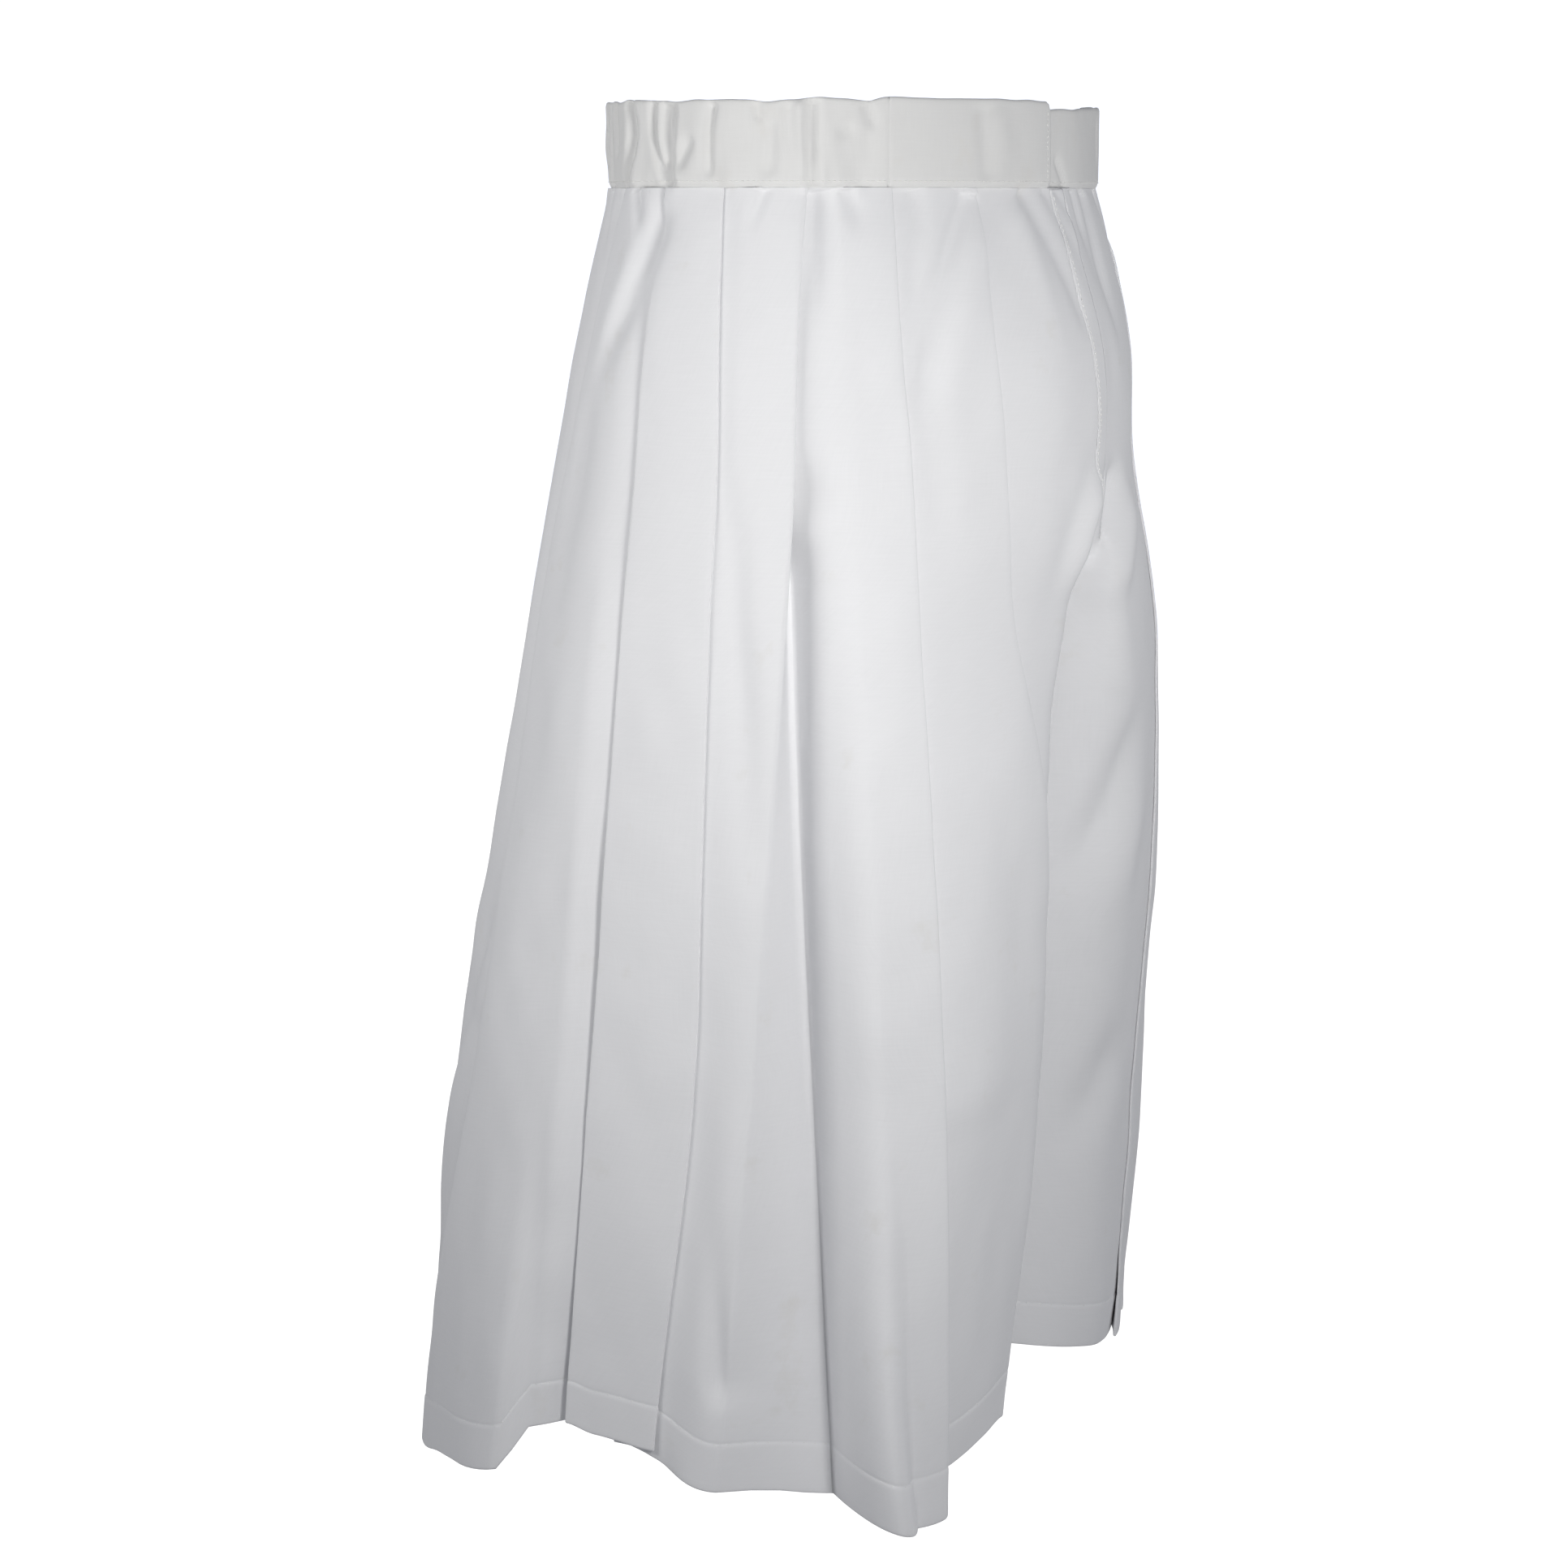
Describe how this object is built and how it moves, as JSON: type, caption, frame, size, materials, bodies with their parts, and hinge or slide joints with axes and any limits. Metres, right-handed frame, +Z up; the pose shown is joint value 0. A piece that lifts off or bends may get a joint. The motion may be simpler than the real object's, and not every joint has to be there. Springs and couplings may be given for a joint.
{
  "type": "folk breeches",
  "caption": "Wide white cotton folk breeches with knife-pleated legs, a lapped fly front and a waistband gathered on elastic round the sides and back.",
  "frame": {"origin": "centre of the waist, at half the height of the waistband", "axes": "+Z up towards the wearer's head, -Y the wearer's front, +X the wearer's left"},
  "size_m": [0.4324, 0.3541, 0.7288],
  "materials": {
    "waistband_cotton": "plain ivory white cotton, double layer",
    "leg_cotton": "fine plain white cotton, soft and matt with a slight sheen"
  },
  "bodies": {
    "root": {"waistband_front_right": "waistband_cotton", "waistband_front_left": "waistband_cotton", "waistband_back": "waistband_cotton", "fly_placket": "leg_cotton", "leg_right_front": "leg_cotton", "leg_right_back": "leg_cotton", "leg_left_front": "leg_cotton", "leg_left_back": "leg_cotton"}
  },
  "joints": []
}
